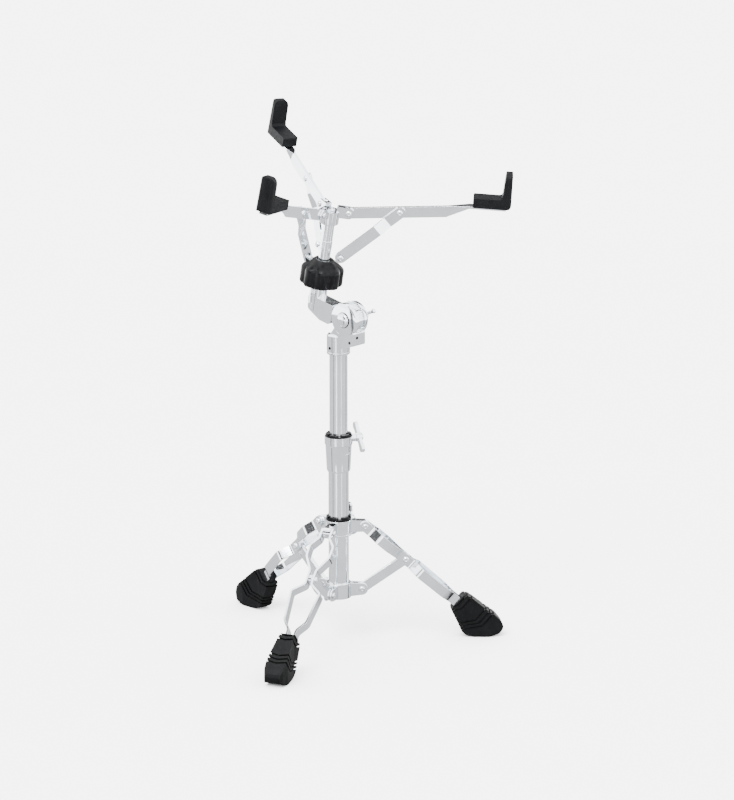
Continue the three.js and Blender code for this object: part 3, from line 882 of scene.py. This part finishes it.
def addTilterBolt():
    face, hole = tilterShape["halfWidth"] + runningGap, tilterShape["boltHole"]
    bolt = turnedBody([
        (0, -26), (4, -26), (4, face), (10.2, face), (10.2, face + 1.2), (9.6, face + 1.6), (9.1, face + 1.7),
        (8.6, face + 2.4), (6.6, face + 3.4), (3.4, face + 3.9), (0, face + 4),
    ], 96)
    addPiece("tilterBolt", bolt, axisFrame @ turn(90, "X"), "tilter_base", "chrome", ["tilter_bolt"], 0.2)
    ring = ringBody(11.2, hole, face - 0.32, face + 0.25)  # a thin black ring that paints the shade in the seam under the bolt's head as a dark line
    # painted shade: the black nylon finish here stands for the seam's shadow, not for a real part
    addPiece("tilterBoltSeamShade", ring, axisFrame @ turn(90, "X"), "tilter_base", "nylon", [], 0.1)
    washer, place = ringBody(19.5, hole, face, face + 2.4), axisFrame @ turn(-90, "X")
    addPiece("tilterWasher", washer, place, "tilter_base", "nylon", ["tilter_washer"], 0.5)


def addTeeHandle():
    start = tilterShape["halfWidth"] + 3.2
    hole = tilterShape["boltHole"]
    flange = turnedBody([
        (12, start), (12, start + 2.2), (11.2, start + 3), (8.2, start + 4.2), (7.5, start + 5.4),
        (7, start + 14), (6.2, start + 15), (hole, start + 15), (hole, start),
    ], 64)
    armProfile = [(0, 6.2), (2.2, 6.2), (2.2, 19.6), (3, 20.4), (3.3, 21.8), (3, 23.2), (2, 24), (0, 24.2)]
    arms = []
    for side in (1, -1):
        arms.append(moved(turnedBody(armProfile, 32), turn(90 * side, "Y"), shift(0, start + 11)))
    body = joined(moved(flange, turn(-90, "X")), *arms)
    place = axisFrame @ turn(tilterShape["handleTurn"], "Y")
    addPiece("tilterHandle", body, place, "tee_handle", "chrome", ["tilter_tee_handle"], 0.3)


# ---- cast elbow and its set screw ----
elbowShape = {"half": 11.5, "low": -18, "sleeve": 10.8, "sleeveTop": 28, "bore": 8.3, "screwHeight": 20}


def addElbow():
    e = elbowShape
    half, low = e["half"], e["low"]
    outer, top = e["sleeve"], e["sleeveTop"]
    toRod = shift(-standShape["rodOffset"])
    drumHalf, groove = tilterShape["drumHalf"], outer - 0.5
    side = [(-25.2, low + 3), (-30, low), (-47, low), (-72, low + 9), (-73, half), (-25.2, half)]
    side = rounded(side, [1, 3, 8, 7, 3, 1])
    gear = gearOutline(tilterShape["drumRadius"], tilterShape["teeth"], tilterShape["toothDepth"])
    drum = moved(plateBody(gear, 2 * drumHalf), turn(90, "X"))
    sleeve = moved(turnedBody([
        (0, -half + 2), (outer, -half + 2), (outer, top - 3.2), (groove, top - 2.8),
        (groove, top - 2), (outer, top - 1.6), (outer, top), (0, top),
    ]), toRod)
    wall = combined("INTERSECT", discBody(13.5, 0, top), boxBody((-20, -5), (-20, 20), (0, 40)))
    wall = moved(wall, toRod)
    neck = boxBody((-30, -10), (-drumHalf, drumHalf), (-half - 2, half - 0.5))
    body = joined(drum, neck, sideBody(side, 2 * outer - 1), sleeve, wall)
    rodBore = moved(discBody(e["bore"], -5, top + 1), toRod)
    screwHole = moved(radialPinBody(2.8, 8.5, 14, e["screwHeight"], -90), toRod)
    body = carved(body, crossPinBody(tilterShape["boltHole"], 20), rodBore, screwHole)
    addPiece("tilterElbow", body, headFrame, "basket_head", "chrome", ["tilter_elbow"], 0.8, 3)
    height = e["screwHeight"]
    head = boxBody((-3, 3), (-14.4, -11.2), (height - 3, height + 3))
    screw = joined(radialPinBody(2.5, 8.8, 12, height, -90), head)
    addPiece("rodSetScrew", screw, rodFrame, "basket_head", "bright_steel", ["rod_set_screw"], 0.35)


# ---- basket rod, hub, slider and knob ----
hubShape = {"radius": 13, "skirt": -19, "deck": 0.5, "half": 8, "forkStart": 15.5, "wall": 2.5}
sliderShape = {"radius": 13.5, "half": 7.5, "lugOffset": -8.6, "forkStart": 12.5}
barShape = {"thickness": 4, "depth": 16, "brace": 3, "rivet": 2.5, "tongue": (50, 13, 3.2)}
rodFit = {"bore": 8.3, "sliderBore": 8.4, "radius": 8}


def forkWidth(bar):
    return bar + 2 * runningGap + 2 * hubShape["wall"]


def rivetHoleBody(x=0):
    return crossPinBody(barShape["rivet"] + runningGap, 20, x)


def forkBody(start, pivot, offset, bar, half):
    fork = lugBody(0, pivot, 0, half, -half, half, forkWidth(bar))
    slot = boxBody((start, 60), (-bar / 2 - runningGap, bar / 2 + runningGap), (-20, 20))
    fork = carved(fork, slot, rivetHoleBody(pivot))
    return moved(fork, shift(0, offset))


def addHub():
    h = hubShape
    forks = []
    for n in legNumbers:
        fork = forkBody(h["forkStart"], standShape["hubPivot"], 0, barShape["thickness"], h["half"])
        forks.append(moved(fork, armTurn(n)))
    cup = turnedBody([
        (0, h["skirt"]), (h["radius"] - 1.4, h["skirt"]), (h["radius"] - 0.4, h["skirt"] + 0.6),
        (h["radius"], h["skirt"] + 1.8), (h["radius"], h["deck"]), (0, h["deck"]),
    ])
    dish = discBody(9.5, h["deck"], h["half"] + 1)
    body = carved(joined(cup, *forks), dish, discBody(rodFit["bore"], h["skirt"] - 1, -3))
    addPiece("basketHub", body, hubFrame, "basket_head", "chrome", ["basket_hub"], 0.6)
    cap = turnedBody([
        (0, 0.8), (6, 0.8), (6, 1.9), (5.4, 2.7), (4.4, 3.6), (3, 3.8), (2.8, 2.4), (0, 2.4),
    ], 64)
    addPiece("hubCapScrew", cap, hubFrame, "basket_head", "bright_steel", ["basket_hub_cap"], 0.2)
    rodTop = standShape["hubHeight"] - 3.3
    radius = rodFit["radius"]
    rod = turnedBody([
        (0, -4.5), (radius - 0.8, -4.5), (radius, -3.7),
        (radius, rodTop - 0.6), (radius - 0.6, rodTop), (0, rodTop),
    ])
    addPiece("basketRod", rod, rodFrame, "basket_head", "chrome", ["basket_rod"], 0.2)


def addSlider():
    s = sliderShape
    forks = []
    for n in legNumbers:
        pivot = armKinds[n]["braceRadius"]
        fork = forkBody(s["forkStart"], pivot, s["lugOffset"], barShape["brace"], s["half"])
        forks.append(moved(fork, armTurn(n)))
    sleeve = discBody(s["radius"], -s["half"], s["half"])
    body = carved(joined(sleeve, *forks), discBody(rodFit["sliderBore"], -20, 20))
    addPiece("basketSlider", body, sliderFrame, "basket_carrier", "chrome", ["basket_slider"], 0.6)


knobShape = {
    "lobes": 8,
    "lobeRise": 1.9,
    "profile": [  # radius, height and share of the lobes
        (8.4, 29.5, 0), (26.6, 29.5, 0.6), (28.0, 30.2, 0.9), (28.6, 31.8, 1), (28.6, 45, 1),
        (28.6, 51.5, 1), (28.2, 53.6, 1), (27.1, 55.6, 0.9), (25.2, 57.6, 0.75), (22.4, 59.8, 0.5),
        (19, 62, 0.3), (16, 64, 0.12), (14.2, 65.6, 0), (13.2, 66.4, 0), (8.4, 66.5, 0),
    ],
}


def addKnob():
    k = knobShape
    steps = 192
    body = bmesh.new()
    loops = []
    for radius, height, lobe in k["profile"]:
        loop = []
        for i in range(steps):
            angle = 2 * math.pi * i / steps
            wave = abs(math.cos(k["lobes"] * angle / 2)) * 2 - 1.2  # broad lobes, narrow valleys
            reach = radius + k["lobeRise"] * lobe * wave
            loop.append(body.verts.new((reach * math.cos(angle), reach * math.sin(angle), height)))
        loops.append(loop)
    for low, high in zip(loops, [*loops[1:], loops[0]]):
        for i in range(steps):
            j = (i + 1) % steps
            body.faces.new((low[i], low[j], high[j], high[i]))
    bmesh.ops.recalc_face_normals(body, faces=body.faces)
    addPiece("basketKnob", body, rodFrame, "basket_nut", "nylon", ["basket_knob"], 0)


# ---- basket arms, braces and cradles ----
def armBody(kind):
    half = barShape["depth"] / 2
    length, width, thickness = barShape["tongue"]
    x, z = kind["bend"]
    droop = math.radians(kind["slope"] - kind["seatTilt"])
    tipX, tipZ = x + length * math.cos(droop), z - length * math.sin(droop)
    end = kind["barEnd"]
    side = [
        *arcPoints(0, 0, half, 90, 270, 32), (end, -half), (x - 1, z - thickness),
        (tipX, tipZ - thickness), (tipX, tipZ), (x, z), (end, half),
    ]
    neck, bar, flat = end + 4, barShape["thickness"] / 2, width / 2
    plan = rounded([
        (-20, -bar), (neck, -bar), (x, -flat), (260, -flat), (260, flat), (x, flat), (neck, bar), (-20, bar),
    ], [0, 12, 8, 0, 0, 8, 12, 0])
    body = combined("INTERSECT", sideBody(side, width), plateBody(plan, 100))
    body = carved(body, rivetHoleBody())
    return joined(body, headBody(bar, 1, rivetShape["sunk"], kind["joint"]))


def braceBody(length):
    thickness, half = barShape["brace"], barShape["depth"] / 2 - 0.01
    upper = -(barShape["thickness"] / 2 + runningGap + thickness / 2)
    lower = sliderShape["lugOffset"]
    line = [(-10, lower), (length - 41, lower), (length - 21, upper), (length + 10, upper)]
    plan = plateBody(stripOutline(line, thickness, 1.5), barShape["depth"])
    strap = combined("INTERSECT", plan, sideBody(barOutline(length, half), 60))
    head = headBody(upper - thickness / 2, -1, rivetShape["sunk"], length)
    return joined(carved(strap, rivetHoleBody()), head)


def addArm(number):
    kind, place, body = armKinds[number], armFrame(number), f"arm_{number}"
    addPiece(f"basketArm{number}", armBody(kind), place, body, "chrome", [f"basket_arm_{number}"], 0.5)
    pin = rivetBody(barShape["rivet"], forkWidth(barShape["thickness"]))
    addPiece(f"armRivet{number}", pin, place, body, "bright_steel", [f"basket_arm_{number}_rivet"], 0.15)


def addBrace(number):
    place, body = braceFrame(number), f"brace_{number}"
    strap = braceBody(math.hypot(*braceRun(number)))
    addPiece(f"basketBrace{number}", strap, place, body, "chrome", [f"basket_brace_{number}"], 0.45)
    pin = rivetBody(barShape["rivet"], forkWidth(barShape["brace"]))
    pin = moved(pin, shift(0, sliderShape["lugOffset"]))
    addPiece(f"braceRivet{number}", pin, place, body, "bright_steel", [f"basket_brace_{number}_rivet"], 0.15)


cradleShape = {"length": 53.2, "base": 14, "corner": 40, "height": 52.5, "width": 22.6, "edge": 2}


def cradleBody():
    c = cradleShape
    length, base, corner, height, half = c["length"], c["base"], c["corner"], c["height"], c["width"] / 2
    side = [(0, 0), (length, 0), (length - 0.6, height), (corner + 3, height), (corner, base), (0, base)]
    side = rounded(side, [2.5, 6, 6, 2.5, 5, 2.5])
    top = rounded([(0, -half), (length, -half), (length, half), (0, half)], [2, 8, 8, 2], 10)
    front = rounded([(-half, -1), (half, -1), (half, height), (-half, height)], [0, 0, 11, 11], 12)
    front = moved(plateBody(front, 3 * length), turn(90, "X"), turn(90))
    body = combined("INTERSECT", sideBody(side, c["width"] + 2), plateBody(top, 3 * height))
    return combined("INTERSECT", body, front)


def addCradle(number):
    addPiece(f"cradle{number}", cradleBody(), seatFrame(number) @ metres(4, 0, 0.3), f"arm_{number}",
             "cradle_rubber", [f"cradle_{number}"], cradleShape["edge"], 4)


addClevis()
addTilterBolt()
addTeeHandle()
addElbow()
print("tilter made")
addHub()
addSlider()
addKnob()
for n in legNumbers:
    addArm(n)
    addBrace(n)
    addCradle(n)
print("basket made")

# ---- stage: floor, light and the cards that give the chrome its dark lines ----
stageSetting = {
    "floorSize": 60,
    "world": 5.2,
    "sunStrength": 7,
    "sunAngle": 35,
    "cards": {  # turn from +Y, distance, width, low, high, grey
        "cardBehind": (-7, 3.0, 5.0, 0.9, 3.0, 0.03),
        "cardLeft": (108, 0.45, 0.06, 0, 1.3, 0.05),
        "cardRight": (-80, 0.45, 0.07, 0, 1.3, 0.05),
        "cardBrightLeft": (148, 0.6, 0.17, 0, 1.4, 0.6),
        "cardBrightRight": (208, 0.6, 0.1, 0, 1.4, 0.45),
        "cardUpperLeft": (128, 1.2, 0.7, 0.4, 1.3, 0.03),
    },
    "groundCard": (2.4, 0.19),  # size and grey of what the chrome sees below
}


def makeStageMaterial(name, colour, roughness):
    material, tree, shader = startMaterial(name)
    grain = addNoise(tree, 6, 3)
    darker = tuple(c * 0.985 for c in colour)
    tree.links.new(addTwoTones(tree, grain, darker, colour), shader.inputs["Base Color"])
    shader.inputs["Roughness"].default_value = roughness
    shader.inputs["Specular IOR Level"].default_value = 0.1
    return material


def stageObject(name, corners, colour):
    mesh = bpy.data.meshes.new(name)
    mesh.from_pydata(corners, [], [tuple(range(len(corners)))])
    mesh.materials.append(makeStageMaterial(f"{name}Paint", colour, 0.9))
    made = bpy.data.objects.new(name, mesh)
    bpy.context.scene.collection.objects.link(made)
    return made


def addFloor():
    half = stageSetting["floorSize"] / 2
    corners = [(-half, -half, -0.0005), (half, -half, -0.0005), (half, half, -0.0005), (-half, half, -0.0005)]
    stageObject("floor", corners, (0.93, 0.93, 0.93))


def addCard(name, angle, distance, width, low, high, grey):
    # an upright card that only the chrome sees
    corners = [(-width / 2, 0, low), (width / 2, 0, low), (width / 2, 0, high), (-width / 2, 0, high)]
    card = stageObject(name, corners, (grey,) * 3)
    card.matrix_world = poleFrame @ turn(angle) @ Matrix.Translation((0, distance, 0))
    hideFromAllButChrome(card)


def addGroundCard():
    size, grey = stageSetting["groundCard"]
    rim = [(x, y, 0.0003) for x, y in arcPoints(0, 0, size, 0, 360, 96)[:-1]]
    hideFromAllButChrome(stageObject("groundCard", rim, (grey,) * 3))


def hideFromAllButChrome(card):
    card.visible_camera = False
    card.visible_diffuse = False
    card.visible_shadow = False


def addLights():
    world = bpy.data.worlds.new("studio")
    world.use_nodes = True
    back = world.node_tree.nodes["Background"]
    back.inputs["Color"].default_value = (1, 1, 1, 1)
    back.inputs["Strength"].default_value = stageSetting["world"]
    bpy.context.scene.world = world
    sun = bpy.data.lights.new("softKey", "SUN")
    sun.energy = stageSetting["sunStrength"]
    sun.angle = math.radians(stageSetting["sunAngle"])
    lamp = bpy.data.objects.new("softKey", sun)
    lamp.rotation_euler = (math.radians(38), 0, math.radians(-35))
    bpy.context.scene.collection.objects.link(lamp)


addFloor()
addLights()
addGroundCard()
for name, setting in stageSetting["cards"].items():
    addCard(name, *setting)
print("stage set")
